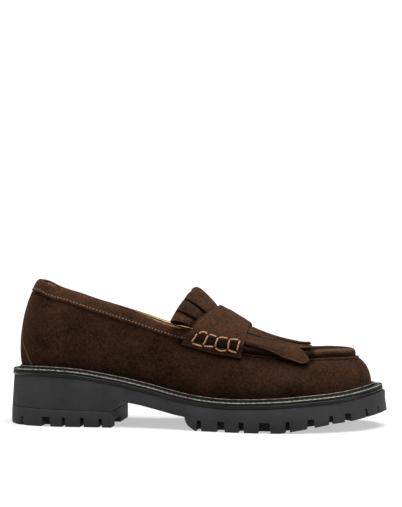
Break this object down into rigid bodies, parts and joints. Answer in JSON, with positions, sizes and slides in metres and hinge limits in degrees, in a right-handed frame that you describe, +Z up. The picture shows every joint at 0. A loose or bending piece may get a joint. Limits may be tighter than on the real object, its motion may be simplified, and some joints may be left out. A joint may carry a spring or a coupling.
{
  "type": "loafer",
  "caption": "Suede slip-on loafer with a raised apron, a saddle strap over a fringed kiltie, a storm welt and a lugged rubber sole with a low heel.",
  "frame": {"origin": "middle of the bounding box in X and Y, on the ground under the sole", "axes": "+X from the heel to the toe, +Y to the shoe's inner side, +Z up"},
  "size_m": [0.2814, 0.1018, 0.1082],
  "materials": {
    "outsole": "matte black",
    "heel_lift": "matte black",
    "midsole": "satin black",
    "welt": "polished black",
    "insole": "smooth tan",
    "upper": "dark brown suede",
    "collar_band": "dark brown suede",
    "heel_strip": "dark brown suede",
    "strap": "dark brown suede",
    "kiltie": "dark brown suede"
  },
  "bodies": {
    "root": {"outsole": "outsole", "heel_lift": "heel_lift", "midsole": "midsole", "welt": "welt", "insole": "insole", "upper": "upper", "collar_band": "collar_band", "heel_strip": "heel_strip", "strap": "strap", "kiltie": "kiltie"}
  },
  "joints": []
}
